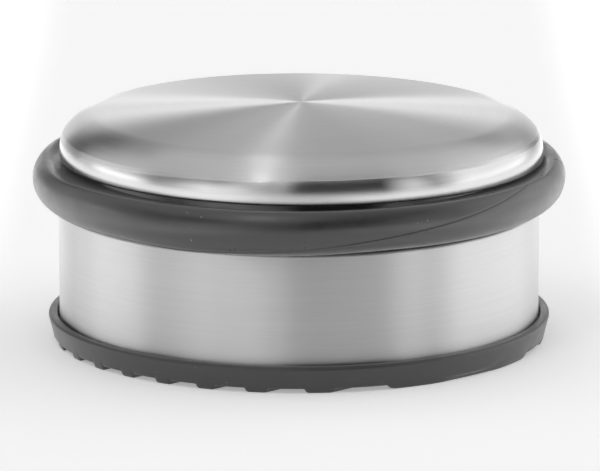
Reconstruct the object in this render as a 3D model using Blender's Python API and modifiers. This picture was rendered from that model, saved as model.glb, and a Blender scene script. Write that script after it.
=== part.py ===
"""Floor door holder: a weighted brushed-steel puck with a rubber bumper ring and a ribbed rubber base.

Units are metres and +Z is up. The origin is the centre of the underside, on the floor, and every
turned piece is centred on Z. Touching pieces keep a gap of FIT between them.
"""

import math

import bmesh
import bpy
from mathutils import Matrix

OBJECT_NAME = "floor_door_holder"

# ---- driving dimensions ------------------------------------------------------------------------
FIT = 0.0003  # gap kept between pieces that touch
SLEEVE_RADIUS = 0.0450  # outside of the steel drum
APEX_HEIGHT = 0.0445  # top of the dome above the floor

# rubber base
PAD_RIM_HEIGHT = 0.0050  # top of the upstanding rim
PAD_FLOOR_HEIGHT = 0.0030  # inside floor of the cup
PAD_TOP_RADIUS = 0.04706  # the side leans in from here ...
PAD_FOOT_RADIUS = 0.0460  # ... to here
PAD_RIM_CLEARANCE = 0.00035  # between the rim and the sleeve
PAD_RIM_BEVEL = 0.0006
RIB_PITCH = 0.00814
RIB_WIDTH = 0.00313
RIB_DEPTH = 0.0008
RIB_COUNT = 12
RIB_SHIFT = -0.0007  # the rib pattern sits this far off the centre
RIB_NORMAL_DEG = -47.0  # direction across the ribs, from +X

# steel sleeve
SHEET = 0.0008
GROOVE_FLOOR_RADIUS = 0.0393
SHOULDER_HEIGHT = 0.02535  # lower flank of the ring's groove
NECK_TOP_HEIGHT = 0.0380
SLEEVE_FILLET = 0.0006
SLEEVE_HOLE_RADIUS = 0.0045

# bumper ring
RING_RADIUS = 0.04474  # centre of the cord's section
CORD_RADIUS = 0.00507
RING_HEIGHT = 0.03075

# steel cap
CAP_RADIUS = 0.04525
CAP_SHEET = 0.0010
CAP_LIP_HEIGHT = 0.0343  # upper flank of the ring's groove
CAP_LIP_RADIUS = 0.0415  # how far in the turned-in edge reaches
DOME_RADIUS = 0.372
SHOULDER_RADIUS = 0.0090  # round from the dome down to the edge line
EDGE_RADIUS = 0.04455  # faint edge line that runs round the cap
EDGE_HEIGHT = 0.03875
RIM_CURVE_HEIGHT = 0.0355  # the rim is upright up to here, then leans in to the edge line

# stud, ballast and closing plate
STUD_RADIUS = 0.0039
STUD_END_HEIGHT = 0.0046
STUD_HOLE_RADIUS = 0.0046
WELD_FLANGE_RADIUS = 0.0090
WELD_FLANGE_THICKNESS = 0.00125
COLLAR_RADIUS = 0.0070
PLATE_THICKNESS = 0.0016
PLATE_RADIUS = SLEEVE_RADIUS - SHEET - FIT
WELL_RADIUS = 0.0140  # inside of the well in the plate
WELL_CEILING_HEIGHT = 0.0175
BALLAST_RADIUS = 0.0430
BALLAST_NECK_RADIUS = 0.0375
BALLAST_NECK_HEIGHT = 0.0335
BALLAST_BOSS_RADIUS = 0.0200
BALLAST_CHAMFER = 0.0010

# adhesive and damping discs
ADHESIVE_THICKNESS = 0.0005
ADHESIVE_RADIUS = 0.0430
DAMPING_RADIUS = 0.0360
DAMPING_HOLE_RADIUS = WELD_FLANGE_RADIUS + 0.0004

# fasteners, for an 8 mm thread
WASHER_RADIUS = 0.0120
WASHER_HOLE_RADIUS = 0.0043
WASHER_THICKNESS = 0.0018
SPRING_WASHER_RADIUS = 0.0074
SPRING_WASHER_THICKNESS = 0.0020
SPRING_WASHER_SLIT = 0.0008
SPRING_WASHER_SLIT_TILT_DEG = 20.0
NUT_ACROSS_FLATS = 0.0130
NUT_HEIGHT = 0.0065
NUT_HOLE_RADIUS = 0.0042

# roundness of the turned shapes
SKIN_STEPS = 64
INNER_STEPS = 48
SMALL_STEPS = 32
MERGE = 0.00001
SHARP_ANGLE = math.radians(35)


# ---- scene -------------------------------------------------------------------------------------
def clear_scene():
    for thing in list(bpy.data.objects):
        bpy.data.objects.remove(thing, do_unlink=True)


def new_collection(name):
    collection = bpy.data.collections.new(name)
    bpy.context.scene.collection.children.link(collection)
    return collection


def principled(name, colour, roughness, metallic):
    material = bpy.data.materials.new(name)
    material.use_nodes = True
    shader = material.node_tree.nodes["Principled BSDF"]
    shader.inputs["Base Color"].default_value = (*colour, 1.0)
    shader.inputs["Roughness"].default_value = roughness
    shader.inputs["Metallic"].default_value = metallic
    material.diffuse_color = (*colour, 1.0)
    return material


# ---- modelling helpers -------------------------------------------------------------------------
def arc(centre, radius, start_deg, end_deg, steps):
    """Points (r, z) along an arc from one angle to the other, both ends included."""
    points = []
    for step in range(steps + 1):
        angle = math.radians(start_deg + (end_deg - start_deg) * step / steps)
        points.append((centre[0] + radius * math.cos(angle), centre[1] + radius * math.sin(angle)))
    return points


def place(name, mesh, collection, material):
    thing = bpy.data.objects.new(name, mesh)
    thing.data.materials.append(material)
    collection.objects.link(thing)
    return thing


def turned(name, profile, steps, collection, material):
    """A solid of revolution about Z.

    The profile's (r, z) points run outwards over the top, down the outer side and back under.
    It is closed into a loop unless both of its ends lie on the axis.
    """
    mesh = bpy.data.meshes.new(name)
    vertices = [(r, 0.0, z) for r, z in profile]
    edges = [(index, index + 1) for index in range(len(profile) - 1)]
    if profile[0][0] > 0.0:
        edges.append((len(profile) - 1, 0))
    mesh.from_pydata(vertices, edges, [])
    thing = place(name, mesh, collection, material)
    screw = thing.modifiers.new("turn", "SCREW")
    screw.axis = "Z"
    screw.angle = math.tau
    screw.steps = steps
    screw.render_steps = steps
    screw.use_merge_vertices = True
    screw.merge_threshold = MERGE
    screw.use_smooth_shade = True
    return thing


def ring_profile(inner, outer, low, high, chamfer=0.0):
    """A flat ring's section, with its outer corners chamfered."""
    profile = [(inner, high), (outer - chamfer, high)]
    if chamfer:
        profile += [(outer, high - chamfer), (outer, low + chamfer)]
        profile += [(outer - chamfer, low)]
    else:
        profile += [(outer, low)]
    return profile + [(inner, low)]


def cut(thing, cutter):
    """Cuts the cutter out of the thing and hides the cutter."""
    cutter.hide_render = True
    cutter.display_type = "WIRE"
    modifier = thing.modifiers.new("cut", "BOOLEAN")
    modifier.operation = "DIFFERENCE"
    modifier.solver = "EXACT"
    modifier.object = cutter


def shade(thing):
    """Smooth shading with crisp edges, by angle."""
    if thing.data.polygons:
        thing.data.shade_smooth()
        thing.data.set_sharp_from_angle(angle=SHARP_ANGLE)


# ---- steel cap ---------------------------------------------------------------------------------
def dome_centre():
    return (0.0, APEX_HEIGHT - DOME_RADIUS)


def shoulder_geometry():
    """Centre of the shoulder's round, and its angles at the edge line and where it meets the dome.

    The centre is SHOULDER_RADIUS from the edge line and DOME_RADIUS - SHOULDER_RADIUS from the dome's.
    """
    dome_z = dome_centre()[1]
    reach = DOME_RADIUS - SHOULDER_RADIUS
    rise = EDGE_HEIGHT - dome_z
    span = math.hypot(EDGE_RADIUS, rise)
    along = (reach**2 - SHOULDER_RADIUS**2 + span**2) / (2 * span)
    aside = math.sqrt(reach**2 - along**2)
    centre_r = (EDGE_RADIUS * along - rise * aside) / span
    centre_z = dome_z + (rise * along + EDGE_RADIUS * aside) / span
    start_deg = math.degrees(math.atan2(EDGE_HEIGHT - centre_z, EDGE_RADIUS - centre_r))
    meeting_deg = math.degrees(math.atan2(centre_z - dome_z, centre_r))
    return (centre_r, centre_z), start_deg, meeting_deg


def rim_geometry():
    """Centre and radius of the rim's lean, and the angle at which it reaches the edge line."""
    rise = EDGE_HEIGHT - RIM_CURVE_HEIGHT
    end = 2 * math.atan2(CAP_RADIUS - EDGE_RADIUS, rise)
    radius = rise / math.sin(end)
    return (CAP_RADIUS - radius, RIM_CURVE_HEIGHT), radius, math.degrees(end)


def under_dome(r):
    """Height of the dome's inner face at a radius."""
    return dome_centre()[1] + math.sqrt((DOME_RADIUS - CAP_SHEET) ** 2 - r**2)


def build_top_cap(collection):
    """Drawn cover: dome, round shoulder, edge line, rim and an edge turned in over the ring."""
    steel = principled("cap_steel", (0.63, 0.63, 0.64), 0.30, 1.0)
    centre, start_deg, meeting_deg = shoulder_geometry()
    rim_centre, rim_radius, rim_deg = rim_geometry()
    outside = arc(dome_centre(), DOME_RADIUS, 90.0, meeting_deg, 8)
    outside[0] = (0.0, APEX_HEIGHT)
    outside += arc(centre, SHOULDER_RADIUS, meeting_deg, start_deg, 5)[1:]
    outside += arc(rim_centre, rim_radius, rim_deg, 0.0, 3)[1:]
    lip = [
        (CAP_RADIUS, CAP_LIP_HEIGHT),
        (CAP_LIP_RADIUS, CAP_LIP_HEIGHT),
        (CAP_LIP_RADIUS, CAP_LIP_HEIGHT + CAP_SHEET),
        (CAP_RADIUS - CAP_SHEET, CAP_LIP_HEIGHT + CAP_SHEET),
    ]
    inside = arc(centre, SHOULDER_RADIUS - CAP_SHEET, start_deg, meeting_deg, 4)
    inside += arc(dome_centre(), DOME_RADIUS - CAP_SHEET, meeting_deg, 90.0, 5)[1:]
    inside[-1] = (0.0, APEX_HEIGHT - CAP_SHEET)
    turned("top_cap", outside + lip + inside, SKIN_STEPS, collection, steel)


def build_cap_stud(collection):
    """Stud welded under the dome: weld flange, collar that bears on the sleeve, threaded shank."""
    steel = principled("stud_steel", (0.55, 0.55, 0.54), 0.40, 1.0)
    top = under_dome(WELD_FLANGE_RADIUS) - FIT
    flange_low = top - WELD_FLANGE_THICKNESS
    collar_low = NECK_TOP_HEIGHT + FIT
    chamfer = 0.0006
    profile = [
        (0.0, top),
        (WELD_FLANGE_RADIUS, top),
        (WELD_FLANGE_RADIUS, flange_low),
        (COLLAR_RADIUS, flange_low),
        (COLLAR_RADIUS, collar_low),
        (STUD_RADIUS, collar_low),
        (STUD_RADIUS, STUD_END_HEIGHT + chamfer),
        (STUD_RADIUS - chamfer, STUD_END_HEIGHT),
        (0.0, STUD_END_HEIGHT),
    ]
    turned("cap_stud", profile, SMALL_STEPS, collection, steel)


def build_damping_disc(collection):
    """Foam disc that fills the space between the sleeve's top and the dome."""
    foam = principled("damping_foam", (0.05, 0.05, 0.055), 0.95, 0.0)
    low = NECK_TOP_HEIGHT + FIT
    top_steps = 4
    profile = []
    for step in range(top_steps + 1):
        r = DAMPING_HOLE_RADIUS + (DAMPING_RADIUS - DAMPING_HOLE_RADIUS) * step / top_steps
        profile.append((r, under_dome(r) - FIT))
    profile += [(DAMPING_RADIUS, low), (DAMPING_HOLE_RADIUS, low)]
    turned("damping_disc", profile, INNER_STEPS, collection, foam)


# ---- bumper ring -------------------------------------------------------------------------------
def build_bumper_ring(collection):
    """Rubber cord ring: a round section that the cap's edge presses flat on top."""
    rubber = principled("ring_rubber", (0.035, 0.035, 0.037), 0.50, 0.0)
    flat_height = CAP_LIP_HEIGHT - FIT
    flat_deg = math.degrees(math.asin((flat_height - RING_HEIGHT) / CORD_RADIUS))
    section = arc((RING_RADIUS, RING_HEIGHT), CORD_RADIUS, flat_deg, -180.0 - flat_deg, 18)
    turned("bumper_ring", section, SKIN_STEPS, collection, rubber)


# ---- sleeve ------------------------------------------------------------------------------------
def build_body_sleeve(collection):
    """Drawn drum, open at the foot, stepped in at the groove and closed above with a stud hole."""
    steel = principled("sleeve_steel", (0.60, 0.60, 0.61), 0.32, 1.0)
    foot = PAD_FLOOR_HEIGHT + FIT
    fillet = SLEEVE_FILLET
    outside = [(SLEEVE_HOLE_RADIUS, NECK_TOP_HEIGHT)]
    outside += arc(
        (GROOVE_FLOOR_RADIUS - fillet, NECK_TOP_HEIGHT - fillet), fillet, 90.0, 0.0, 3
    )
    outside += arc(
        (GROOVE_FLOOR_RADIUS + fillet, SHOULDER_HEIGHT + fillet), fillet, 180.0, 270.0, 3
    )
    outside += arc((SLEEVE_RADIUS - fillet, SHOULDER_HEIGHT - fillet), fillet, 90.0, 0.0, 4)
    outside += [(SLEEVE_RADIUS, foot)]
    inside = [
        (SLEEVE_RADIUS - SHEET, foot),
        (SLEEVE_RADIUS - SHEET, SHOULDER_HEIGHT - SHEET),
        (GROOVE_FLOOR_RADIUS - SHEET, SHOULDER_HEIGHT - SHEET),
        (GROOVE_FLOOR_RADIUS - SHEET, NECK_TOP_HEIGHT - SHEET),
        (SLEEVE_HOLE_RADIUS, NECK_TOP_HEIGHT - SHEET),
    ]
    turned("body_sleeve", outside + inside, SKIN_STEPS, collection, steel)


# ---- ballast and closing plate -----------------------------------------------------------------
def plate_heights():
    """Underside and top of the closing plate's flat."""
    low = PAD_FLOOR_HEIGHT + FIT + ADHESIVE_THICKNESS + FIT
    return low, low + PLATE_THICKNESS


def build_ballast_core(collection):
    """Stepped cast-iron weight that fills the sleeve, with a stud hole and a recess for the well."""
    iron = principled("cast_iron", (0.16, 0.16, 0.17), 0.70, 1.0)
    low = plate_heights()[1] + FIT
    body_top = SHOULDER_HEIGHT - SHEET - FIT
    boss_top = NECK_TOP_HEIGHT - SHEET - FIT
    recess_radius = WELL_RADIUS + PLATE_THICKNESS + 4 * FIT
    recess_top = WELL_CEILING_HEIGHT + PLATE_THICKNESS + FIT
    chamfer = BALLAST_CHAMFER
    profile = [
        (STUD_HOLE_RADIUS, boss_top),
        (BALLAST_BOSS_RADIUS - chamfer, boss_top),
        (BALLAST_BOSS_RADIUS, boss_top - chamfer),
        (BALLAST_BOSS_RADIUS, BALLAST_NECK_HEIGHT),
        (BALLAST_NECK_RADIUS - chamfer, BALLAST_NECK_HEIGHT),
        (BALLAST_NECK_RADIUS, BALLAST_NECK_HEIGHT - chamfer),
        (BALLAST_NECK_RADIUS, body_top),
        (BALLAST_RADIUS - chamfer, body_top),
        (BALLAST_RADIUS, body_top - chamfer),
        (BALLAST_RADIUS, low + chamfer),
        (BALLAST_RADIUS - chamfer, low),
        (recess_radius, low),
        (recess_radius, recess_top),
        (STUD_HOLE_RADIUS, recess_top),
    ]
    turned("ballast_core", profile, INNER_STEPS, collection, iron)


def build_base_plate(collection):
    """Pressed plate that closes the sleeve, with a well in the middle for the nut."""
    steel = principled("plate_steel", (0.58, 0.57, 0.53), 0.38, 1.0)
    low, high = plate_heights()
    well_outer = WELL_RADIUS + PLATE_THICKNESS
    well_top = WELL_CEILING_HEIGHT + PLATE_THICKNESS
    bend = 0.0010
    profile = [(STUD_HOLE_RADIUS, well_top)]
    profile += arc((well_outer - bend, well_top - bend), bend, 90.0, 0.0, 3)
    profile += [
        (well_outer, high),
        (PLATE_RADIUS, high),
        (PLATE_RADIUS, low),
        (WELL_RADIUS, low),
        (WELL_RADIUS, WELL_CEILING_HEIGHT),
        (STUD_HOLE_RADIUS, WELL_CEILING_HEIGHT),
    ]
    turned("base_plate", profile, INNER_STEPS, collection, steel)


def build_fasteners(collection, cutters):
    """Plain washer, split spring washer and hexagon nut, stacked under the well's ceiling."""
    zinc = principled("zinc_plate", (0.62, 0.61, 0.58), 0.35, 1.0)
    washer_high = WELL_CEILING_HEIGHT - FIT
    washer_low = washer_high - WASHER_THICKNESS
    section = ring_profile(WASHER_HOLE_RADIUS, WASHER_RADIUS, washer_low, washer_high, 0.0002)
    turned("clamp_washer", section, INNER_STEPS, collection, zinc)

    spring_high = washer_low - FIT
    spring_low = spring_high - SPRING_WASHER_THICKNESS
    section = ring_profile(WASHER_HOLE_RADIUS, SPRING_WASHER_RADIUS, spring_low, spring_high)
    spring = turned("spring_washer", section, SMALL_STEPS, collection, zinc)
    slit_mesh = bpy.data.meshes.new("spring_washer_slit")
    shape = bmesh.new()
    tilt = Matrix.Rotation(math.radians(SPRING_WASHER_SLIT_TILT_DEG), 4, "X")
    size = Matrix.Diagonal((SPRING_WASHER_RADIUS, SPRING_WASHER_SLIT, 0.0060, 1.0))
    middle = Matrix.Translation((0.75 * SPRING_WASHER_RADIUS, 0.0, (spring_low + spring_high) / 2))
    bmesh.ops.create_cube(shape, size=1.0, matrix=middle @ tilt @ size)
    shape.to_mesh(slit_mesh)
    shape.free()
    cut(spring, place("spring_washer_slit", slit_mesh, cutters, zinc))

    nut_high = spring_low - FIT
    nut_middle = Matrix.Translation((0.0, 0.0, nut_high - NUT_HEIGHT / 2))
    nut_mesh = bpy.data.meshes.new("clamp_nut")
    shape = bmesh.new()
    corner_radius = NUT_ACROSS_FLATS / 2 / math.cos(math.pi / 6)
    bmesh.ops.create_cone(
        shape,
        cap_ends=True,
        segments=6,
        radius1=corner_radius,
        radius2=corner_radius,
        depth=NUT_HEIGHT,
        matrix=nut_middle,
    )
    shape.to_mesh(nut_mesh)
    shape.free()
    nut = place("clamp_nut", nut_mesh, collection, zinc)
    hole_mesh = bpy.data.meshes.new("clamp_nut_hole")
    shape = bmesh.new()
    bmesh.ops.create_cone(
        shape,
        cap_ends=True,
        segments=SMALL_STEPS,
        radius1=NUT_HOLE_RADIUS,
        radius2=NUT_HOLE_RADIUS,
        depth=2 * NUT_HEIGHT,
        matrix=nut_middle,
    )
    shape.to_mesh(hole_mesh)
    shape.free()
    cut(nut, place("clamp_nut_hole", hole_mesh, cutters, zinc))


# ---- rubber base -------------------------------------------------------------------------------
def build_adhesive_disc(collection):
    """Thin bonding disc between the closing plate and the rubber base, open under the well."""
    film = principled("adhesive_film", (0.72, 0.70, 0.62), 0.60, 0.0)
    low = PAD_FLOOR_HEIGHT + FIT
    section = ring_profile(WELL_RADIUS, ADHESIVE_RADIUS, low, low + ADHESIVE_THICKNESS)
    turned("adhesive_disc", section, INNER_STEPS, collection, film)


def rib_groove_cutter(collection, material):
    """One mesh with a bar for each groove between two ribs, at right angles to RIB_NORMAL_DEG."""
    mesh = bpy.data.meshes.new("rib_grooves")
    shape = bmesh.new()
    groove_width = RIB_PITCH - RIB_WIDTH
    length = 2.4 * PAD_TOP_RADIUS
    turn = Matrix.Rotation(math.radians(RIB_NORMAL_DEG), 4, "Z")
    size = Matrix.Diagonal((groove_width, length, 2 * RIB_DEPTH, 1.0))
    for index in range(RIB_COUNT + 1):
        across = (index - RIB_COUNT / 2) * RIB_PITCH + RIB_SHIFT
        bmesh.ops.create_cube(
            shape, size=1.0, matrix=turn @ Matrix.Translation((across, 0.0, 0.0)) @ size
        )
    shape.to_mesh(mesh)
    shape.free()
    return place("rib_grooves", mesh, collection, material)


def build_base_pad(collection, cutters):
    """Rubber cup round the sleeve's foot, with straight anti-slip ribs underneath."""
    rubber = principled("pad_rubber", (0.030, 0.030, 0.032), 0.60, 0.0)
    rim_inner = SLEEVE_RADIUS + PAD_RIM_CLEARANCE
    bevel = PAD_RIM_BEVEL
    profile = [
        (0.0, PAD_FLOOR_HEIGHT),
        (rim_inner, PAD_FLOOR_HEIGHT),
        (rim_inner, PAD_RIM_HEIGHT),
    ]
    profile += arc((PAD_TOP_RADIUS - bevel, PAD_RIM_HEIGHT - bevel), bevel, 90.0, 0.0, 3)
    profile += [(PAD_FOOT_RADIUS, 0.0), (0.0, 0.0)]
    pad = turned("base_pad", profile, SKIN_STEPS, collection, rubber)
    cut(pad, rib_groove_cutter(cutters, rubber))


def main():
    clear_scene()
    parts = new_collection(OBJECT_NAME)
    cutters = new_collection("cutters")
    build_base_pad(parts, cutters)
    build_adhesive_disc(parts)
    build_base_plate(parts)
    build_fasteners(parts, cutters)
    build_ballast_core(parts)
    build_body_sleeve(parts)
    build_bumper_ring(parts)
    build_damping_disc(parts)
    build_cap_stud(parts)
    build_top_cap(parts)
    for thing in parts.objects:
        shade(thing)


main()
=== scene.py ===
"""Looks of the floor door holder: its steel, rubber and iron pieces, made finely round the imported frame.

The holder is a weighted steel drum that stands on the floor. Nearly everything is turned about the Z axis,
apart from the ribs under the rubber base. Azimuths are in degrees, 0 towards -Y and growing towards +X.
Lengths are in metres.
"""

import math

import bmesh
import bpy
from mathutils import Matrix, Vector, noise


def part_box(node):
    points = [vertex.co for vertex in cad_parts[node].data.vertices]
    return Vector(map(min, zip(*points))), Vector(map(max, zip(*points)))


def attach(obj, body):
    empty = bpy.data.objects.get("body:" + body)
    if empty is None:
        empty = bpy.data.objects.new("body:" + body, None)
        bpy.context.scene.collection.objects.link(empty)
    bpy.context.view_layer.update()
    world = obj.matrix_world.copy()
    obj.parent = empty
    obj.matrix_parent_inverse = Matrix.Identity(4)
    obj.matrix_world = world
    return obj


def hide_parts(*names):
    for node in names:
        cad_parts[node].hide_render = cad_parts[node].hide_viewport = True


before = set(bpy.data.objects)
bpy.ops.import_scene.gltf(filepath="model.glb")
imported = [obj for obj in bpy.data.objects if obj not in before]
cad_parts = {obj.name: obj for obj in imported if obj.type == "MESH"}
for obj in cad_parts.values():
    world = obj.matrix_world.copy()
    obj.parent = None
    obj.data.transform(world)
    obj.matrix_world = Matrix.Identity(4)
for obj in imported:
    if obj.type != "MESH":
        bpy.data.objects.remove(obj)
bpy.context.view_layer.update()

MM = 0.001
FIT = 0.3 * MM  # gap between pieces that touch

# ---- places read from the frame ----------------------------------------------------------------
CAP_LOW, CAP_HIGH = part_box("top_cap")
SLEEVE_LOW, SLEEVE_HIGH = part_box("body_sleeve")
RING_LOW, RING_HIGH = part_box("bumper_ring")
PAD_LOW, PAD_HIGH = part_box("base_pad")
STUD_LOW, STUD_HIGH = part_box("cap_stud")
NUT_LOW, NUT_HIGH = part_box("clamp_nut")
SPRING_LOW, SPRING_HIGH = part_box("spring_washer")
WASHER_LOW, WASHER_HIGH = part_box("clamp_washer")
BALLAST_LOW, BALLAST_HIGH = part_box("ballast_core")
PLATE_LOW, PLATE_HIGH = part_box("base_plate")
FOAM_LOW, FOAM_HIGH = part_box("damping_disc")
FILM_LOW, FILM_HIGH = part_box("adhesive_disc")

# cap
APEX_HEIGHT = CAP_HIGH[2]
CAP_RADIUS = CAP_HIGH[0]
CAP_LIP_HEIGHT = CAP_LOW[2]
CAP_SHEET = 1.0 * MM
CAP_LIP_RADIUS = 41.5 * MM
DOME_RADIUS = 372 * MM
SHOULDER_RADIUS = 9.0 * MM
EDGE_RADIUS = 44.55 * MM  # edge line between the shoulder and the rim
EDGE_HEIGHT = 38.75 * MM
EDGE_WANDER = 0.06 * MM  # the hand-finished edge line isn't quite even
RIM_CURVE_HEIGHT = 35.5 * MM
LIP_ROUND = 0.5 * MM
CAP_PLAY = 0.45 * MM  # the cap sits this far to +X, within the stud's play in its hole
CAP_TILT = 0.004  # and leans down on that side by this slope

# sleeve
SLEEVE_RADIUS = SLEEVE_HIGH[0]
SLEEVE_FOOT = SLEEVE_LOW[2]
SLEEVE_TOP = SLEEVE_HIGH[2]
SHEET = 0.8 * MM
GROOVE_FLOOR_RADIUS = 39.3 * MM
SHOULDER_HEIGHT = 25.35 * MM
SLEEVE_FILLET = 0.6 * MM
SLEEVE_HOLE_RADIUS = 4.5 * MM

# bumper ring: a cord whose ends meet in a slanting splice
CORD_RADIUS = 5.07 * MM
RING_RADIUS = RING_HIGH[0] - CORD_RADIUS
RING_HEIGHT = RING_LOW[2] + CORD_RADIUS
SPLICE_AZIMUTH = 82.4
SPLICE_SLANT = 8.65  # how far the cut runs along the cord, in degrees of azimuth
SPLICE_TILT = 60
SEAM_START = -50  # azimuth where the mould seam starts to climb
SEAM_HOME = -61  # angle of the seam in the cord's section, where the cord isn't twisted
SEAM_FRONT = -39.5  # the seam's angle at azimuth 0, and how it climbs with the azimuth
SEAM_SLOPE = 0.86
SEAM_CURVE = 0.0085

# rubber base
PAD_RIM_HEIGHT = PAD_HIGH[2]
PAD_TOP_RADIUS = PAD_HIGH[0]
PAD_FLOOR_HEIGHT = 3.0 * MM
PAD_FOOT_RADIUS = 46.0 * MM
PAD_RIM_INNER = SLEEVE_RADIUS + 0.35 * MM
RIB_PITCH = 8.14 * MM
RIB_WIDTH = 3.13 * MM
RIB_DEPTH = 0.8 * MM
RIB_SHIFT = -0.7 * MM
RIB_NORMAL = Vector((math.cos(math.radians(-47)), math.sin(math.radians(-47)), 0))

# stud and nut, with an 8 mm thread
THREAD_PITCH = 1.25 * MM
THREAD_DEPTH = 0.65 * MM
THREAD_CLEARANCE = 0.12 * MM
STUD_RADIUS = 3.9 * MM
STUD_HOLE_RADIUS = 4.6 * MM
COLLAR_RADIUS = 7.0 * MM
COLLAR_BOTTOM = SLEEVE_TOP + FIT
WELD_FLANGE_RADIUS = STUD_HIGH[0]
WELD_FLANGE_THICKNESS = 1.25 * MM
NUT_HALF_FLATS = 6.5 * MM
NUT_HOLE_RADIUS = 4.2 * MM

# closing plate and ballast
WELL_RADIUS = 14.0 * MM
PLATE_THICKNESS = 1.6 * MM
WELL_CEILING = PLATE_HIGH[2] - PLATE_THICKNESS
BALLAST_RADIUS = BALLAST_HIGH[0]
BALLAST_NECK_RADIUS = 37.5 * MM
BALLAST_NECK_HEIGHT = 33.5 * MM
BALLAST_BOSS_RADIUS = 20.0 * MM
BALLAST_SHOULDER = SHOULDER_HEIGHT - SHEET - FIT


# ---- camera ------------------------------------------------------------------------------------
CAMERA_DISTANCE = 1.022
CAMERA_ELEVATION = math.radians(12.6)
CAMERA_LENS = 326.8
AIM = Vector((0.19 * MM, 0.0, 18.9 * MM))


def make_camera():
    camera = bpy.data.objects.new("camera", bpy.data.cameras.new("camera"))
    bpy.context.scene.collection.objects.link(camera)
    camera.data.sensor_width = 36
    camera.data.lens = CAMERA_LENS
    camera.data.clip_start = 0.05
    camera.data.clip_end = 20
    back = Vector((0, -math.cos(CAMERA_ELEVATION), math.sin(CAMERA_ELEVATION)))
    camera.location = AIM + back * CAMERA_DISTANCE
    camera.rotation_euler = (-back).to_track_quat("-Z", "Y").to_euler()
    bpy.context.scene.camera = camera


# ---- node helpers ------------------------------------------------------------------------------
class Nodes:
    """Short ways to add and link the nodes of one tree."""

    def __init__(self, tree):
        self.tree = tree

    def add(self, kind, **settings):
        node = self.tree.nodes.new(kind)
        for name, value in settings.items():
            setattr(node, name, value)
        return node

    def feed(self, socket, value):
        """Links a socket, or sets a plain value, on an input."""
        if isinstance(value, bpy.types.NodeSocket):
            self.tree.links.new(value, socket)
        elif value is not None:
            socket.default_value = value

    def math(self, operation, a, b=None, c=None):
        node = self.add("ShaderNodeMath", operation=operation)
        for socket, value in zip(node.inputs, (a, b, c)):
            self.feed(socket, value)
        return node.outputs[0]

    def xyz(self, vector):
        node = self.add("ShaderNodeSeparateXYZ")
        self.feed(node.inputs[0], vector)
        return node.outputs

    def distance(self, x, y):
        """Distance from the Z axis, from the X and Y sockets."""
        squares = self.math("MULTIPLY_ADD", x, x, self.math("MULTIPLY", y, y))
        return self.math("SQRT", squares)

    def vector(self, x, y, z):
        node = self.add("ShaderNodeCombineXYZ")
        for socket, value in zip(node.inputs, (x, y, z)):
            self.feed(socket, value)
        return node.outputs[0]

    def ramp(self, value, start, end, low=0.0, high=1.0):
        """A smooth step of value from start to end, giving low to high."""
        node = self.add("ShaderNodeMapRange", interpolation_type="SMOOTHSTEP")
        for socket, item in zip(node.inputs, (value, start, end, low, high)):
            self.feed(socket, item)
        return node.outputs[0]

    def noise(self, vector, scale, detail=2.0, roughness=0.5):
        node = self.add("ShaderNodeTexNoise")
        self.feed(node.inputs["Vector"], vector)
        self.feed(node.inputs["Scale"], scale)
        self.feed(node.inputs["Detail"], detail)
        self.feed(node.inputs["Roughness"], roughness)
        return node.outputs["Fac"]

    def cells(self, vector, scale):
        """Distance to the nearest of the points scattered through space."""
        node = self.add("ShaderNodeTexVoronoi")
        self.feed(node.inputs["Vector"], vector)
        self.feed(node.inputs["Scale"], scale)
        return node.outputs["Distance"]

    def mix(self, factor, a, b):
        node = self.add("ShaderNodeMix", data_type="RGBA")
        self.feed(node.inputs[0], factor)
        self.feed(node.inputs[6], a)
        self.feed(node.inputs[7], b)
        return node.outputs[2]

    def bump(self, shader, height, distance, strength):
        node = self.add("ShaderNodeBump")
        node.inputs["Strength"].default_value = strength
        node.inputs["Distance"].default_value = distance
        self.feed(node.inputs["Height"], height)
        self.feed(shader.inputs["Normal"], node.outputs[0])


def new_material(name):
    """(material, its Nodes, its Principled shader, the place on the object)"""
    material = bpy.data.materials.new(name)
    material.use_nodes = True
    nodes = Nodes(material.node_tree)
    place = nodes.add("ShaderNodeTexCoord").outputs["Object"]
    return material, nodes, material.node_tree.nodes["Principled BSDF"], place


def grey(value, warmth=0.0):
    return (value * (1 + warmth), value, value * (1 - warmth), 1.0)


# ---- materials ---------------------------------------------------------------------------------
FINE_BRUSHING = 9000  # brush lines to the metre, across the lines
BROAD_BRUSHING = 1500
BRUSH_CONTRAST = 0.14  # how far the brush lines make the tone darker or lighter
POLE_RADIUS = 0.1 * MM  # keeps the brush lines from running together on the axis


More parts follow.
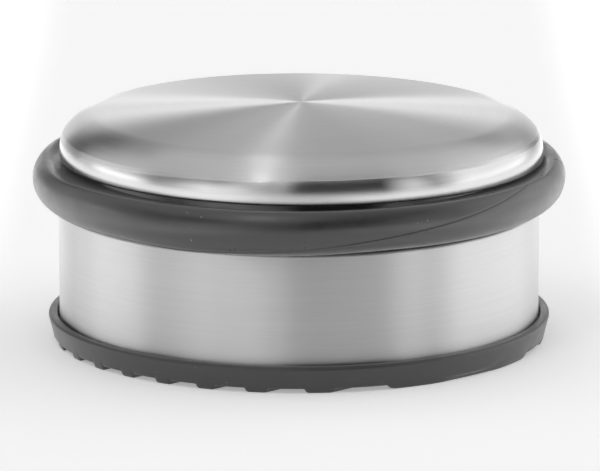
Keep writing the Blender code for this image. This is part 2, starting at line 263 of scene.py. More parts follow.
def brushed_steel(name, tone, roughness, edge_roughness=None, edge_start=0.0, edge_end=0.0):
    """Steel with brush lines that run round Z. The finish may grow smoother from one radius to another."""
    material, nodes, shader, place = new_material(name)
    x, y, z = nodes.xyz(place)
    radius = nodes.distance(x, y)
    safe = nodes.math("MAXIMUM", radius, POLE_RADIUS)
    across = nodes.math("SUBTRACT", radius, z)
    round_x = nodes.math("DIVIDE", x, safe)
    round_y = nodes.math("DIVIDE", y, safe)

    def lines(per_metre, turns, detail):
        at = nodes.vector(
            nodes.math("MULTIPLY", round_x, turns),
            nodes.math("MULTIPLY", round_y, turns),
            nodes.math("MULTIPLY", across, per_metre),
        )
        return nodes.noise(at, 1.0, detail, 0.6)

    fine = lines(FINE_BRUSHING, 3.0, 3.0)
    broad = lines(BROAD_BRUSHING, 1.6, 2.0)
    both = nodes.math("ADD", nodes.math("MULTIPLY", fine, 0.6), nodes.math("MULTIPLY", broad, 0.4))
    dark, light = grey(tone * (1 - BRUSH_CONTRAST)), grey(tone * (1 + BRUSH_CONTRAST))
    nodes.feed(shader.inputs["Base Color"], nodes.mix(both, dark, light))
    level = roughness
    if edge_roughness is not None:
        level = nodes.ramp(radius, edge_start, edge_end, roughness, edge_roughness)
    waver = nodes.ramp(both, 0.2, 0.8, -0.02, 0.02)
    nodes.feed(shader.inputs["Roughness"], nodes.math("ADD", level, waver))
    shader.inputs["Metallic"].default_value = 1.0
    shader.inputs["Anisotropic"].default_value = 1.0
    shader.inputs["Anisotropic Rotation"].default_value = 0.25
    tangent = nodes.add("ShaderNodeTangent", direction_type="RADIAL", axis="Z")
    nodes.feed(shader.inputs["Tangent"], tangent.outputs[0])
    nodes.bump(shader, both, 0.02 * MM, 0.25)
    return material


def rubber(name, tone, roughness):
    """Black rubber: cloudy sheen, a fine moulded grain and a few pale specks of dust."""
    material, nodes, shader, place = new_material(name)
    cloud = nodes.noise(place, 160.0, 4.0, 0.6)
    mottle = nodes.noise(place, 1400.0, 3.0, 0.6)
    body = nodes.mix(mottle, grey(tone * 0.75), grey(tone * 1.25))
    speck = nodes.ramp(nodes.noise(place, 2100.0, 0.0), 0.88, 0.92)
    nodes.feed(shader.inputs["Base Color"], nodes.mix(speck, body, grey(0.35)))
    sheen = nodes.math("ADD", nodes.math("MULTIPLY", cloud, 0.7), nodes.math("MULTIPLY", mottle, 0.3))
    nodes.feed(shader.inputs["Roughness"], nodes.ramp(sheen, 0.3, 0.7, roughness - 0.07, roughness + 0.07))
    shader.inputs["Specular IOR Level"].default_value = 0.9
    shader.inputs["Sheen Weight"].default_value = 0.35
    shader.inputs["Sheen Roughness"].default_value = 0.45
    nodes.bump(shader, nodes.math("ADD", mottle, nodes.noise(place, 4200.0, 2.0)), 0.03 * MM, 0.25)
    return material


def cast_iron():
    """Grey iron as cast: grainy skin with brown tints."""
    material, nodes, shader, place = new_material("cast_iron")
    tint = nodes.noise(place, 90.0, 5.0, 0.65)
    grain = nodes.noise(place, 1300.0, 4.0, 0.7)
    nodes.feed(
        shader.inputs["Base Color"],
        nodes.mix(nodes.ramp(tint, 0.42, 0.68), grey(0.13), (0.17, 0.115, 0.08, 1.0)),
    )
    nodes.feed(shader.inputs["Roughness"], nodes.ramp(grain, 0.3, 0.7, 0.6, 0.85))
    nodes.feed(shader.inputs["Metallic"], nodes.ramp(tint, 0.42, 0.68, 0.9, 0.3))
    nodes.bump(shader, grain, 0.25 * MM, 0.6)
    return material


def plated_steel(name, colour, roughness):
    """Plated or cold-rolled steel: cloudy colour and short rolling lines."""
    material, nodes, shader, place = new_material(name)
    x, y, z = nodes.xyz(place)
    cloud = nodes.noise(place, 220.0, 4.0, 0.6)
    stretched = nodes.vector(x, nodes.math("MULTIPLY", y, 14.0), nodes.math("MULTIPLY", z, 14.0))
    rolled = nodes.noise(stretched, 260.0, 3.0, 0.6)
    darker = tuple(part * 0.82 for part in colour) + (1.0,)
    nodes.feed(shader.inputs["Base Color"], nodes.mix(cloud, darker, (*colour, 1.0)))
    nodes.feed(shader.inputs["Roughness"], nodes.ramp(rolled, 0.3, 0.7, roughness - 0.08, roughness + 0.08))
    shader.inputs["Metallic"].default_value = 1.0
    nodes.bump(shader, rolled, 0.02 * MM, 0.4)
    return material


def damping_foam():
    """Black closed-cell foam, pitted with small cells."""
    material, nodes, shader, place = new_material("damping_foam")
    pits = nodes.cells(place, 1500.0)
    nodes.feed(shader.inputs["Base Color"], nodes.mix(pits, grey(0.03), grey(0.07)))
    nodes.feed(shader.inputs["Roughness"], nodes.ramp(pits, 0.1, 0.6, 0.98, 0.85))
    nodes.bump(shader, pits, 0.3 * MM, 0.8)
    return material


def adhesive_film():
    """Cloudy, slightly yellow bonding film."""
    material, nodes, shader, place = new_material("adhesive_film")
    cloud = nodes.noise(place, 150.0, 4.0, 0.6)
    streaks = nodes.noise(place, 900.0, 2.0)
    nodes.feed(shader.inputs["Base Color"], nodes.mix(cloud, (0.62, 0.58, 0.47, 1), (0.80, 0.78, 0.70, 1)))
    nodes.feed(shader.inputs["Roughness"], nodes.ramp(streaks, 0.3, 0.7, 0.45, 0.7))
    nodes.bump(shader, streaks, 0.05 * MM, 0.4)
    return material


# ---- mesh helpers ------------------------------------------------------------------------------
def smooth_step(value, start, end):
    """0 at start and 1 at end, with a gentle slope between. Start may lie above end."""
    share = min(max((value - start) / (end - start), 0.0), 1.0)
    return share * share * (3 - 2 * share)


def arc(centre, radius, start_deg, end_deg, steps):
    """Points (r, z) along an arc, both ends included."""
    points = []
    for step in range(steps + 1):
        angle = math.radians(start_deg + (end_deg - start_deg) * step / steps)
        points.append((centre[0] + radius * math.cos(angle), centre[1] + radius * math.sin(angle)))
    return points


def around(azimuth_deg, r, z):
    """The point at a radius and height, on the side that the azimuth names."""
    azimuth = math.radians(azimuth_deg)
    return (r * math.sin(azimuth), -r * math.cos(azimuth), z)


def wrapped_mesh(name, columns):
    """A closed mesh from columns of points, each joined to the next and the last to the first.

    A column is a closed loop, unless it starts and ends on the Z axis, where the columns share their ends.
    """
    shape = bmesh.new()
    poles = {}

    def vertex(point):
        if abs(point[0]) + abs(point[1]) > 1e-9:
            return shape.verts.new(point)
        if point[2] not in poles:
            poles[point[2]] = shape.verts.new(point)
        return poles[point[2]]

    made = [[vertex(point) for point in column] for column in columns]
    rows = len(made[0])
    joins = rows - 1 if poles else rows
    for left, right in zip(made, made[1:] + made[:1]):
        for row in range(joins):
            after = (row + 1) % rows
            corners = (left[row], left[after], right[after], right[row])
            shape.faces.new(list(dict.fromkeys(corners)))
    bmesh.ops.recalc_face_normals(shape, faces=shape.faces)
    mesh = bpy.data.meshes.new(name)
    shape.to_mesh(mesh)
    shape.free()
    return mesh


def turned(name, section_at, columns):
    """A mesh turned about Z. section_at(azimuth) gives that side's (r, z) points."""
    sides = [360 * column / columns - 180 for column in range(columns)]
    return wrapped_mesh(name, [[around(side, r, z) for r, z in section_at(side)] for side in sides])


def finely(section, spacing):
    """The closed section with points added, so that none are further apart than the spacing."""
    points = []
    for start, end in zip(section, section[1:] + section[:1]):
        pieces = max(1, math.ceil(math.dist(start, end) / spacing))
        for piece in range(pieces):
            share = piece / pieces
            points.append(tuple(a + (b - a) * share for a, b in zip(start, end)))
    return points


def roughen(mesh, scale, depth):
    """Sinks every point by up to the depth, in lumps of about 1 / scale."""
    mesh.update()
    moves = []
    for vertex in mesh.vertices:
        level = noise.fractal(vertex.co * scale, 1.0, 2.0, 3)
        moves.append(vertex.co - vertex.normal * depth * min(max(0.5 + 0.6 * level, 0.0), 1.0))
    for vertex, place in zip(mesh.vertices, moves):
        vertex.co = place


def new_piece(name, mesh, material, node, sharp_deg=30):
    """A shown piece on the root body that stands for a CAD node."""
    piece = bpy.data.objects.new(name, mesh)
    bpy.context.scene.collection.objects.link(piece)
    mesh.materials.append(material)
    mesh.shade_smooth()
    mesh.set_sharp_from_angle(angle=math.radians(sharp_deg))
    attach(piece, "root")
    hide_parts(node)
    return piece


# ---- steel cap ---------------------------------------------------------------------------------
def edge_wander(azimuth_deg):
    """Uneven hand finishing of the edge line, from -1 to 1."""
    turn = math.radians(azimuth_deg)
    return 0.45 * math.sin(3 * turn + 1) + 0.3 * math.sin(8 * turn) + 0.25 * math.sin(19 * turn + 2)


def shoulder_geometry(edge_r, edge_z):
    """Centre of the shoulder's round, and its angles at the edge line and where it meets the dome."""
    dome_z = APEX_HEIGHT - DOME_RADIUS
    reach = DOME_RADIUS - SHOULDER_RADIUS
    rise = edge_z - dome_z
    span = math.hypot(edge_r, rise)
    along = (reach**2 - SHOULDER_RADIUS**2 + span**2) / (2 * span)
    aside = math.sqrt(reach**2 - along**2)
    centre_r = (edge_r * along - rise * aside) / span
    centre_z = dome_z + (rise * along + edge_r * aside) / span
    start = math.degrees(math.atan2(edge_z - centre_z, edge_r - centre_r))
    meeting = math.degrees(math.atan2(centre_z - dome_z, centre_r))
    return (centre_r, centre_z), start, meeting


def rim_geometry(edge_r, edge_z):
    """Centre and radius of the rim's lean, and the angle at which it reaches the edge line."""
    rise = edge_z - RIM_CURVE_HEIGHT
    end = 2 * math.atan2(CAP_RADIUS - edge_r, rise)
    radius = rise / math.sin(end)
    return (CAP_RADIUS - radius, RIM_CURVE_HEIGHT), radius, math.degrees(end)


def cap_section(azimuth_deg):
    """Half of the cap's section: dome, shoulder, rim, lip turned in below, and the same back inside."""
    wander = EDGE_WANDER * edge_wander(azimuth_deg)
    edge_r, edge_z = EDGE_RADIUS - wander / 2, EDGE_HEIGHT + 2 * wander
    centre, start, meeting = shoulder_geometry(edge_r, edge_z)
    rim_centre, rim_radius, rim_end = rim_geometry(edge_r, edge_z)
    dome_z = APEX_HEIGHT - DOME_RADIUS
    section = [(0, APEX_HEIGHT)]
    section += arc((0, dome_z), DOME_RADIUS, 90, meeting, 40)[1:]
    section += arc(centre, SHOULDER_RADIUS, meeting, start, 28)[1:]
    section += arc(rim_centre, rim_radius, rim_end, 0, 14)[1:]
    section += arc((CAP_RADIUS - LIP_ROUND, CAP_LIP_HEIGHT + LIP_ROUND), LIP_ROUND, 0, -90, 6)
    section += [(CAP_LIP_RADIUS, CAP_LIP_HEIGHT), (CAP_LIP_RADIUS, CAP_LIP_HEIGHT + CAP_SHEET)]
    section += [(CAP_RADIUS - CAP_SHEET, CAP_LIP_HEIGHT + CAP_SHEET)]
    section += arc(centre, SHOULDER_RADIUS - CAP_SHEET, start, meeting, 8)
    section += arc((0, dome_z), DOME_RADIUS - CAP_SHEET, meeting, 90, 8)[1:-1]
    return section + [(0, APEX_HEIGHT - CAP_SHEET)]


def settle(mesh):
    """Moves the cap aside by its play and leans it."""
    for vertex in mesh.vertices:
        vertex.co.z -= vertex.co.x * CAP_TILT
        vertex.co.x += CAP_PLAY


def make_cap():
    change = 0.1 * MM
    steel = brushed_steel("cap_steel", 0.62, 0.33, 0.16, EDGE_RADIUS - change, EDGE_RADIUS + change)
    mesh = turned("cap_shell", cap_section, 256)
    settle(mesh)
    new_piece("cap_shell", mesh, steel, "top_cap", 9)


# ---- steel sleeve ------------------------------------------------------------------------------
def sleeve_section(azimuth_deg):
    fillet = SLEEVE_FILLET
    burr = 0.2 * MM
    section = [(SLEEVE_HOLE_RADIUS, SLEEVE_TOP)]
    section += arc((GROOVE_FLOOR_RADIUS - fillet, SLEEVE_TOP - fillet), fillet, 90, 0, 6)
    section += arc((GROOVE_FLOOR_RADIUS + fillet, SHOULDER_HEIGHT + fillet), fillet, 180, 270, 6)
    section += arc((SLEEVE_RADIUS - fillet, SHOULDER_HEIGHT - fillet), fillet, 90, 0, 8)
    section += [(SLEEVE_RADIUS, SLEEVE_FOOT + burr), (SLEEVE_RADIUS - burr, SLEEVE_FOOT)]
    section += [(SLEEVE_RADIUS - SHEET, SLEEVE_FOOT)]
    section += arc((SLEEVE_RADIUS - SHEET - fillet, SHOULDER_HEIGHT - SHEET - fillet), fillet, 0, 90, 4)
    section += arc((GROOVE_FLOOR_RADIUS - SHEET - fillet, SLEEVE_TOP - SHEET - fillet), fillet, 0, 90, 4)
    return section + [(SLEEVE_HOLE_RADIUS, SLEEVE_TOP - SHEET)]


def make_sleeve():
    steel = brushed_steel("sleeve_steel", 0.60, 0.33)
    mesh = turned("sleeve_shell", sleeve_section, 256)
    new_piece("sleeve_shell", mesh, steel, "body_sleeve")


# ---- bumper ring -------------------------------------------------------------------------------
def spread(near, step, end=180):
    """Distances on both sides of 0: the near ones as given, then evenly on to the end."""
    out = list(near)
    while out[-1] + step < end - step / 2:
        out.append(out[-1] + step)
    return [-value for value in reversed(out)] + [0.0] + out


def seam_angle(azimuth_deg):
    """Where the mould seam lies in the cord's section: the cord was twisted as it was stretched on."""
    along = min(max(azimuth_deg, SEAM_START), SPLICE_AZIMUTH)
    climbed = SEAM_FRONT + SEAM_SLOPE * along + SEAM_CURVE * along**2
    settled = smooth_step(azimuth_deg, SPLICE_AZIMUTH, SPLICE_AZIMUTH + 45)
    return climbed + (SEAM_HOME - climbed) * settled


def seam_relief(offset_deg):
    """A hairline groove with a low flash below it."""
    groove = 1 - smooth_step(abs(offset_deg), 0.5, 2.4)
    flash = smooth_step(offset_deg, -0.6, -3.0) * smooth_step(offset_deg, -22, -5)
    return 0.09 * MM * flash - 0.07 * MM * groove


def splice_relief(along_deg):
    """The cut between the cord's two ends: a narrow groove between slightly swollen edges."""
    groove = 1 - smooth_step(abs(along_deg), 0.04, 0.2)
    swelling = smooth_step(abs(along_deg), 0.1, 0.5) * (1 - smooth_step(abs(along_deg), 0.7, 4.0))
    return 0.05 * MM * swelling - 0.16 * MM * groove


def pressed_height(azimuth_deg, r):
    """The most that the cap's edge lets the cord rise. The cord is pressed down further in front."""
    front = smooth_step(abs(azimuth_deg), 95, 60)
    inner = CAP_LIP_HEIGHT - 0.9 * MM
    free = 0.5 * MM + 0.9 * MM * smooth_step(r, CAP_RADIUS, CAP_RADIUS + 1.8 * MM)
    return inner + free * (1 - front) + 0.2 * (r - CAP_RADIUS) * front


def droop(azimuth_deg):
    """How far the cord's outer half hangs, most of all at the front."""
    front = smooth_step(azimuth_deg, -45, -24) * smooth_step(azimuth_deg, 25, -5)
    side = smooth_step(azimuth_deg, 20, -40) * smooth_step(azimuth_deg, -175, -120)
    return (0.55 * front + 0.12 * side) * MM


def soft_least(a, b, blend):
    """The lesser of two heights, rounded off where they meet."""
    share = min(max(0.5 + 0.5 * (b - a) / blend, 0.0), 1.0)
    return b + (a - b) * share - blend * share * (1 - share)


def cord_point(along_deg, offset_deg):
    """A point of the cord's skin, from the distance along it to the splice and round it to the seam."""
    azimuth = SPLICE_AZIMUTH + along_deg
    if azimuth > 180:
        azimuth -= 360
    section_deg = seam_angle(azimuth) + offset_deg
    slant = SPLICE_SLANT * math.sin(math.radians(section_deg - SPLICE_TILT))
    azimuth -= slant * (1 - smooth_step(abs(along_deg), 0, 25))
    has_seam = 1 - smooth_step(azimuth, SPLICE_AZIMUTH - 2, SPLICE_AZIMUTH + 6)
    radius = CORD_RADIUS + seam_relief(offset_deg) * has_seam + splice_relief(along_deg)
    turn = math.radians(azimuth)
    lean = 0.05 * MM * math.sin(2 * turn + 0.5) + 0.04 * MM * math.sin(5 * turn + 1.2)
    r = RING_RADIUS + radius * math.cos(math.radians(section_deg))
    z = RING_HEIGHT + radius * math.sin(math.radians(section_deg))
    outside = smooth_step(r, SLEEVE_RADIUS + 0.1 * MM, SLEEVE_RADIUS + 1.5 * MM)
    z -= (droop(azimuth) - lean) * outside
    return around(azimuth, r, soft_least(z, pressed_height(azimuth, r), 0.3 * MM))


def make_ring():
    along = spread((0.05, 0.11, 0.18, 0.27, 0.4, 0.6, 0.9, 1.3), 0.6)
    offsets = spread((0.6, 1.2, 1.9, 2.8, 4.0, 6.0, 8.5, 11.5, 15.0), 4.5)
    columns = [[cord_point(a, offset) for offset in offsets] for a in along]
    mesh = wrapped_mesh("rubber_ring", columns)
    black = rubber("ring_rubber", 0.022, 0.34)
    new_piece("rubber_ring", mesh, black, "bumper_ring", 60)


# ---- rubber base -------------------------------------------------------------------------------
GROOVE_PLANES = (-0.45, -0.25, -0.12, 0.0, 0.12, 0.3)  # mm outwards from a rib's side
GROOVE_RISE = (0.0, 0.05, 0.18, 0.62, 0.90, 1.0)  # share of the groove's depth there, with round corners


def rib_side(across):
    """Distance outside the nearest rib's side, negative on the rib."""
    nearest = round((across - RIB_SHIFT) / RIB_PITCH - 0.5) + 0.5
    return abs(across - RIB_SHIFT - nearest * RIB_PITCH) - RIB_WIDTH / 2


def groove_height(across):
    """How far the underside is raised above the floor."""
    side = rib_side(across)
    knots = [plane * MM for plane in GROOVE_PLANES]
    if side <= knots[0]:
        return 0.0
    for start, end, low, high in zip(knots, knots[1:], GROOVE_RISE, GROOVE_RISE[1:]):
        if side <= end:
            return RIB_DEPTH * (low + (high - low) * (side - start) / (end - start))
    return RIB_DEPTH


def pad_section(azimuth_deg):
    lip = 0.35 * MM
    foot = 0.3 * MM
    bevel = 0.6 * MM
    lean = math.degrees(math.atan2(PAD_TOP_RADIUS - PAD_FOOT_RADIUS, PAD_RIM_HEIGHT))
    section = [(0, PAD_FLOOR_HEIGHT), (PAD_RIM_INNER, PAD_FLOOR_HEIGHT)]
    section += arc((PAD_RIM_INNER + lip, PAD_RIM_HEIGHT - lip), lip, 180, 90, 4)
    section += arc((PAD_TOP_RADIUS - bevel, PAD_RIM_HEIGHT - bevel), bevel, 90, 0, 5)
    for height in (2.0, 1.6, 1.2, 0.8, 0.5):
        section.append((wall_radius(height * MM), height * MM))
    section += arc((PAD_FOOT_RADIUS - foot, foot), foot, -lean, -90, 4)
    section += [(radius * MM, 0) for radius in (40, 30, 20, 10)]
    return section + [(0, 0)]


def wall_radius(height):
    """The base's leaning side."""
    return PAD_FOOT_RADIUS + (PAD_TOP_RADIUS - PAD_FOOT_RADIUS) * height / PAD_RIM_HEIGHT


def cut_ribs(mesh):
    """Cuts lines along the ribs' sides into the lower part, then raises what lies between the ribs."""
    reach = 2.0 * MM
    shape = bmesh.new()
    shape.from_mesh(mesh)
    count = math.ceil(PAD_TOP_RADIUS / RIB_PITCH) + 1
    for index in range(-count, count):
        middle = RIB_SHIFT + (index + 0.5) * RIB_PITCH
        for plane in GROOVE_PLANES:
            for side in (-1, 1):
                at = middle + side * (RIB_WIDTH / 2 + plane * MM)
                low_faces = [f for f in shape.faces if max(v.co.z for v in f.verts) <= reach + 1e-6]
                edges = {edge for face in low_faces for edge in face.edges}
                corners = {corner for face in low_faces for corner in face.verts}
                bmesh.ops.bisect_plane(
                    shape,
                    geom=list(corners) + list(edges) + low_faces,
                    plane_co=RIB_NORMAL * at,
                    plane_no=RIB_NORMAL,
                    dist=1e-7,
                )
    for vertex in shape.verts:
        height = vertex.co.z
        if height > reach - 1e-6:
            continue
        across = vertex.co.dot(RIB_NORMAL)
        rise = groove_height(across)
        lifted = rise + height * (reach - rise) / reach
        flat = Vector((vertex.co.x, vertex.co.y, 0))
        worn = 0.12 * MM * (1 - smooth_step(abs(rib_side(across)), 0, 0.5 * MM))
        if flat.length > PAD_FOOT_RADIUS - 0.5 * MM:
            inset = wall_radius(height) - flat.length
            flat *= (wall_radius(lifted) - inset - worn * (1 - height / reach)) / flat.length
        vertex.co = flat + Vector((0, 0, lifted))
    shape.to_mesh(mesh)
    shape.free()


def make_pad():
    mesh = turned("rubber_base", pad_section, 256)
    cut_ribs(mesh)
    black = rubber("pad_rubber", 0.018, 0.42)
    new_piece("rubber_base", mesh, black, "base_pad", 35)


# ---- thread ------------------------------------------------------------------------------------
def thread_depth(azimuth_deg, z):
    """How deep the thread's groove is at a point, from 0 at the crest to THREAD_DEPTH at the root."""
    phase = (z / THREAD_PITCH - azimuth_deg / 360) % 1.0
    slope = abs(phase - 0.5) * 2  # 0 at the middle of the groove, 1 at the middle of the crest
    return THREAD_DEPTH * (1 - min(max((slope - 0.25) / 0.6, 0.0), 1.0))


def make_stud():
    """Stud welded under the dome: weld flange, collar, threaded shank with a chamfered end."""
    low, high = STUD_LOW[2], STUD_HIGH[2]
    rows = 260
    relief_top = COLLAR_BOTTOM - 2.5 * MM

    def section_at(azimuth_deg):
        flange_low = high - WELD_FLANGE_THICKNESS
        corner = 0.25 * MM
        section = [(0, high)]
        section += arc((WELD_FLANGE_RADIUS - corner, high - corner), corner, 90, 0, 3)
        section += arc((WELD_FLANGE_RADIUS - corner, flange_low + corner), corner, 0, -90, 3)
        section += [(COLLAR_RADIUS, flange_low), (COLLAR_RADIUS, COLLAR_BOTTOM + corner)]
        section += [(COLLAR_RADIUS - corner, COLLAR_BOTTOM), (STUD_RADIUS - THREAD_DEPTH, COLLAR_BOTTOM)]
        for row in range(rows + 1):
            z = relief_top + (low - relief_top) * row / rows
            chamfer = max(0.0, THREAD_DEPTH - (z - low))
            run_out = THREAD_DEPTH * smooth_step(z, relief_top - 1.2 * MM, relief_top)
            depth = max(thread_depth(azimuth_deg, z), chamfer, run_out)
            section.append((STUD_RADIUS - depth, z))
        return section + [(0, low)]

    steel = plated_steel("stud_steel", (0.56, 0.56, 0.55), 0.38)
    new_piece("threaded_stud", turned("threaded_stud", section_at, 72), steel, "cap_stud", 25)


def make_nut():
    """Hexagon nut with cut corners and a thread that meshes with the stud's."""
    low, high = NUT_LOW[2], NUT_HIGH[2]
    face_radius = 0.95 * NUT_HALF_FLATS
    cut_slope = math.tan(math.radians(30))
    rows = 90

    def section_at(azimuth_deg):
        from_flat = (azimuth_deg + 30) % 60 - 30
        side = NUT_HALF_FLATS / math.cos(math.radians(from_flat))
        drop = (side - face_radius) * cut_slope
        mouth = NUT_HOLE_RADIUS + 0.25 * MM
        section = [(mouth, high), (face_radius, high), (side, high - drop), (side, low + drop)]
        section += [(face_radius, low), (mouth, low)]
        for row in range(rows + 1):
            z = low + (high - low) * row / rows
            from_face = min(z - low, high - z)
            thread = STUD_RADIUS - thread_depth(azimuth_deg, z) + THREAD_CLEARANCE
            section.append((min(max(thread, mouth - from_face), NUT_HOLE_RADIUS), z))
        return section

    zinc = plated_steel("nut_zinc", (0.63, 0.62, 0.58), 0.33)
    new_piece("hexagon_nut", turned("hexagon_nut", section_at, 96), zinc, "clamp_nut", 20)


def rounded_box(inner, outer, low, high, corner):
    """A flat ring's section with round corners."""
    section = arc((outer - corner, high - corner), corner, 90, 0, 3)
    section += arc((outer - corner, low + corner), corner, 0, -90, 3)
    section += arc((inner + corner, low + corner), corner, -90, -180, 3)
    return section + arc((inner + corner, high - corner), corner, 180, 90, 3)


def make_washer():
    """Punched washer: rolled edges above, crisp ones below."""
    inner, outer = 4.3 * MM, WASHER_HIGH[0]
    low, high = WASHER_LOW[2], WASHER_HIGH[2]
    roll = 0.45 * MM
    section = arc((outer - roll, high - roll), roll, 90, 0, 4) + [(outer, low + 0.05 * MM)]
    section += [(outer - 0.05 * MM, low), (inner + 0.05 * MM, low), (inner, low + 0.05 * MM)]
    section += arc((inner + roll, high - roll), roll, 180, 90, 4)
    zinc = plated_steel("washer_zinc", (0.62, 0.61, 0.57), 0.36)
    mesh = turned("plain_washer", lambda side: section, 128)
    new_piece("plain_washer", mesh, zinc, "clamp_washer")


def make_spring_washer():
    """Split ring of square wire, flattened by the nut. The slit leans."""
    inner, outer = 4.3 * MM, SPRING_HIGH[0]
    low, high = SPRING_LOW[2], SPRING_HIGH[2]
    section = rounded_box(inner, outer, low, high, 0.2 * MM)
    lean = math.tan(math.radians(20))
    half_slit = math.degrees(0.4 * MM / outer)
    steps = 120
    middle = (low + high) / 2
    shape = bmesh.new()
    rings = []
    for step in range(steps + 1):
        share = step / steps
        side = 90 + half_slit + (360 - 2 * half_slit) * share
        near_end = (1 - smooth_step(min(share, 1 - share), 0, 0.1))
        points = []
        for r, z in section:
            shift = math.degrees((z - middle) * lean / r) * near_end
            points.append(shape.verts.new(around(side + shift, r, z)))
        rings.append(points)
    for left, right in zip(rings, rings[1:]):
        for row in range(len(section)):
            after = (row + 1) % len(section)
            shape.faces.new((left[row], left[after], right[after], right[row]))
    shape.faces.new(rings[0])
    shape.faces.new(rings[-1])
    bmesh.ops.recalc_face_normals(shape, faces=shape.faces)
    mesh = bpy.data.meshes.new("split_washer")
    shape.to_mesh(mesh)
    shape.free()
    zinc = plated_steel("spring_zinc", (0.58, 0.57, 0.54), 0.40)
    new_piece("split_washer", mesh, zinc, "spring_washer")


# ---- closing plate, ballast, foam and film -----------------------------------------------------
def make_plate():
    """Pressed plate with a well in the middle for the nut."""
    low = PLATE_LOW[2]
    flat_top = low + PLATE_THICKNESS
    outer = PLATE_HIGH[0]
    well = WELL_RADIUS + PLATE_THICKNESS
    top = PLATE_HIGH[2]
    roll = 0.3 * MM
    bend = 1.0 * MM
    section = [(STUD_HOLE_RADIUS, top)]
    section += arc((well - bend, top - bend), bend, 90, 0, 5)
    section += arc((well + bend / 2, flat_top + bend / 2), bend / 2, 180, 270, 5)
    section += arc((outer - roll, flat_top - roll), roll, 90, 0, 3)
    section += [(outer, low), (WELL_RADIUS + bend, low)]
    section += arc((WELL_RADIUS + bend, low + bend), bend, 270, 180, 5)[1:]
    section += arc((WELL_RADIUS - bend / 2, WELL_CEILING - bend / 2), bend / 2, 0, 90, 5)
    section += [(STUD_HOLE_RADIUS, WELL_CEILING)]
    steel = plated_steel("plate_steel", (0.58, 0.57, 0.53), 0.38)
    mesh = turned("closing_plate", lambda side: section, 160)
    new_piece("closing_plate", mesh, steel, "base_plate")


def make_ballast():
    """Stepped iron casting with a recess for the plate's well."""
    low = BALLAST_LOW[2]
    boss_top = BALLAST_HIGH[2]
    recess = WELL_RADIUS + PLATE_THICKNESS + 4 * FIT
    recess_top = PLATE_HIGH[2] + FIT
    round_off = 1.2 * MM
    section = [(STUD_HOLE_RADIUS, boss_top)]
    section += arc((BALLAST_BOSS_RADIUS - round_off, boss_top - round_off), round_off, 90, 0, 4)
    section += [(BALLAST_BOSS_RADIUS, BALLAST_NECK_HEIGHT)]
    neck = (BALLAST_NECK_RADIUS - round_off, BALLAST_NECK_HEIGHT - round_off)
    section += arc(neck, round_off, 90, 0, 4) + [(BALLAST_NECK_RADIUS, BALLAST_SHOULDER)]
    section += arc((BALLAST_RADIUS - round_off, BALLAST_SHOULDER - round_off), round_off, 90, 0, 4)
    section += arc((BALLAST_RADIUS - round_off, low + round_off), round_off, 0, -90, 4)
    section += [(recess, low), (recess, recess_top), (STUD_HOLE_RADIUS, recess_top)]
    fine = finely(section, 1.0 * MM)
    mesh = turned("iron_ballast", lambda side: fine, 200)
    roughen(mesh, 900, 0.22 * MM)
    new_piece("iron_ballast", mesh, cast_iron(), "ballast_core", 50)


def make_foam():
    """Soft disc between the sleeve's top and the dome."""
    inner = WELD_FLANGE_RADIUS + 0.4 * MM
    outer = FOAM_HIGH[0]
    low = FOAM_LOW[2]
    corner = 0.4 * MM
    dome_z = APEX_HEIGHT - DOME_RADIUS

    def top_at(r):
        return dome_z + math.sqrt((DOME_RADIUS - CAP_SHEET) ** 2 - r**2) - FIT

    section = [(inner + corner, top_at(inner + corner))]
    section += arc((outer - corner, top_at(outer) - corner), corner, 90, 0, 3)
    section += arc((outer - corner, low + corner), corner, 0, -90, 3)
    section += arc((inner + corner, low + corner), corner, -90, -180, 3)
    section += [(inner, top_at(inner) - corner)]
    fine = finely(section, 1.0 * MM)
    mesh = turned("foam_disc", lambda side: fine, 200)
    roughen(mesh, 1100, 0.12 * MM)
    new_piece("foam_disc", mesh, damping_foam(), "damping_disc", 50)


def make_film():
    """Bonding film with an uneven edge."""
    low, high = FILM_LOW[2], FILM_HIGH[2]

    def section_at(azimuth_deg):
        turn = math.radians(azimuth_deg)
        edge = 0.35 * MM * (0.5 + 0.3 * math.sin(7 * turn) + 0.2 * math.sin(19 * turn + 1))
        return rounded_box(WELL_RADIUS + edge / 2, FILM_HIGH[0] - edge, low, high, 0.12 * MM)

    mesh = turned("bonding_film", section_at, 160)
    new_piece("bonding_film", mesh, adhesive_film(), "adhesive_disc")


# ---- studio ------------------------------------------------------------------------------------
class Glow:
    """A patch of the studio's light, between azimuths and elevations in degrees, with soft edges."""

    def __init__(self, azimuth, half_width, low, high, strength, side_feather, end_feather):
        self.azimuth = azimuth
        self.half_width = half_width
        self.low = low
        self.high = high
        self.strength = strength
        self.side_feather = side_feather
        self.end_feather = end_feather

    def mask(self, nodes, turn, rise):
        """1 inside the patch and 0 outside, from sockets with the azimuth and elevation in degrees."""
        turned_by = nodes.math("WRAP", nodes.math("SUBTRACT", turn, self.azimuth), 180, -180)
        away = nodes.math("ABSOLUTE", turned_by)
        side, end = self.side_feather / 2, self.end_feather / 2
        masks = [nodes.ramp(away, self.half_width + side, self.half_width - side)]
        if self.low > BELOW_FLOOR:
            masks.append(nodes.ramp(rise, self.low - end, self.low + end))
        masks.append(nodes.ramp(rise, self.high + end, self.high - end))
        while len(masks) > 1:
            masks.append(nodes.math("MULTIPLY", masks.pop(), masks.pop()))
        return masks[0]


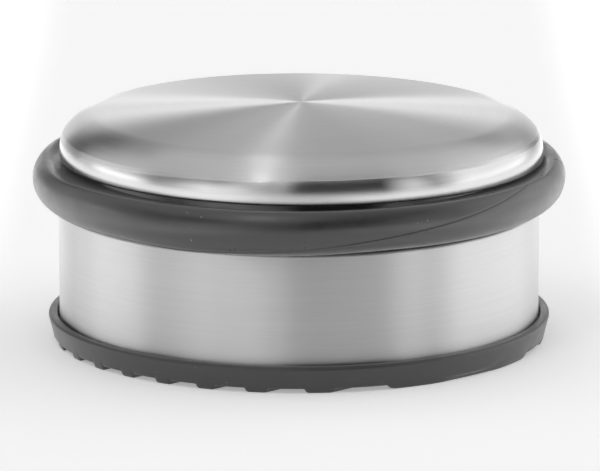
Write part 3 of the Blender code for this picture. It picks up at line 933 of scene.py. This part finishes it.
BELOW_FLOOR = -20  # a patch that starts here runs down behind the horizon
FLOOR_LIGHT = 1.0  # what is seen below the horizon, past the floor's edge
AMBIENT = 0.03
STUDIO = {
    "left panel": Glow(-96, 17.2, BELOW_FLOOR, 4, 2.6, 17, 5),
    "left glow": Glow(-112, 34, BELOW_FLOOR, 36, 0.71, 36, 16),
    "front left strip": Glow(-45, 14, BELOW_FLOOR, 17, 1.64, 42, 26),
    "front left fill": Glow(-18, 18, -1, 57, 0.45, 16, 25),
    "front left streak": Glow(-25.5, 3, 44, 63, 4.2, 2, 6),
    "back right streak": Glow(-166, 5, 62, 71, 4.0, 3, 5),
    "right panel": Glow(102, 28, BELOW_FLOOR, 3, 1.25, 15, 2),
    "right glow": Glow(108, 34, BELOW_FLOOR, 35, 1.2, 26, 11),
    "front right strip": Glow(55, 11, BELOW_FLOOR, 29, 1.11, 22, 9),
    "front right flag": Glow(31, 38, BELOW_FLOOR, 65, -0.26, 7, 10),
    "back left flag": Glow(-142, 10, BELOW_FLOOR, 49, -1.32, 15, 7),
    "backdrop foot": Glow(180, 5.3, BELOW_FLOOR, 7, 4.0, 3, 5),
    "backdrop": Glow(-174, 30.6, BELOW_FLOOR, 25, 0.75, 43, 6),
    "overhead": Glow(180, 181, 36, 95, 0.74, 1, 7),
}


def make_world():
    """A plain studio: soft-edged light panels and dark flags, far away on all sides."""
    world = bpy.data.worlds.new("studio")
    bpy.context.scene.world = world
    world.use_nodes = True
    nodes = Nodes(world.node_tree)
    background = world.node_tree.nodes["Background"]
    background.inputs["Color"].default_value = (1, 1, 1, 1)
    x, y, z = nodes.xyz(nodes.add("ShaderNodeTexCoord").outputs["Generated"])
    turn = nodes.math("DEGREES", nodes.math("ARCTAN2", x, nodes.math("MULTIPLY", y, -1.0)))
    rise = nodes.math("DEGREES", nodes.math("ARCSINE", z))
    total = AMBIENT
    for glow in STUDIO.values():
        total = nodes.math("MULTIPLY_ADD", glow.mask(nodes, turn, rise), glow.strength, total)
    total = nodes.math("MAXIMUM", total, 0.0)
    nodes.feed(background.inputs["Strength"], nodes.ramp(rise, -1.0, 0.0, FLOOR_LIGHT, total))


FLOOR_HALF_WIDTH = 8
FLOOR_TONE = (0.86, 0.86, 0.86, 1)
FLOOR_GLOW = 0.33  # the floor is a white sheet, lit from below
SIDE_GLOW = 0.55  # and more so to the left and right of the holder ...
SIDE_START, SIDE_FULL = 0.055, 0.085  # ... from these distances from the middle plane
GLOW_FULL, GLOW_END = 0.2, 0.6  # ... and as far out as this


def make_floor():
    mesh = bpy.data.meshes.new("floor")
    shape = bmesh.new()
    bmesh.ops.create_grid(shape, x_segments=1, y_segments=1, size=FLOOR_HALF_WIDTH)
    shape.to_mesh(mesh)
    shape.free()
    floor = bpy.data.objects.new("floor", mesh)
    bpy.context.scene.collection.objects.link(floor)
    floor.location.z = PAD_LOW[2] - 0.02 * MM
    material, nodes, shader, place = new_material("floor_paint")
    x, y, z = nodes.xyz(place)
    radius = nodes.distance(x, y)
    sideways = nodes.ramp(nodes.math("ABSOLUTE", x), SIDE_START, SIDE_FULL)
    sides = nodes.math("MULTIPLY", sideways, nodes.ramp(radius, GLOW_END, GLOW_FULL))
    nodes.feed(shader.inputs["Emission Strength"], nodes.math("MULTIPLY_ADD", sides, SIDE_GLOW, FLOOR_GLOW))
    shader.inputs["Base Color"].default_value = FLOOR_TONE
    shader.inputs["Emission Color"].default_value = (1, 1, 1, 1)
    shader.inputs["Roughness"].default_value = 0.9
    shader.inputs["Specular IOR Level"].default_value = 0.0
    mesh.materials.append(material)


make_camera()
make_cap()
make_sleeve()
make_ring()
make_pad()
make_stud()
make_nut()
make_spring_washer()
make_washer()
make_plate()
make_ballast()
make_foam()
make_film()
make_world()
make_floor()
bpy.context.scene.view_settings.view_transform = "Standard"
bpy.context.scene.view_settings.look = "None"
